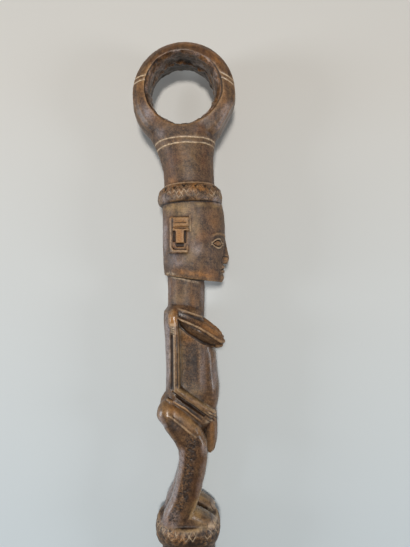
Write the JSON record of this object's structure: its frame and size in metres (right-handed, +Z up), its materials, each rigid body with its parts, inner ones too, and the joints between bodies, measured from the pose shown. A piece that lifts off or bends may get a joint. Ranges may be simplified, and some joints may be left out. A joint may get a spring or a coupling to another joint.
{
  "type": "ceremonial staff",
  "caption": "Carved wooden staff with a pierced ring finial, a standing figure between collars and a plain tapering shaft.",
  "frame": {"origin": "middle of the staff's box, on the surface it lies on", "axes": "+Y along the staff towards the ring, +X the way the figure faces, +Z up, out of the figure's right side"},
  "size_m": [0.0664, 0.98, 0.0437],
  "materials": {
    "carved_wood": "dark hand-polished patina"
  },
  "bodies": {
    "root": {"staff": "carved_wood"}
  },
  "joints": []
}
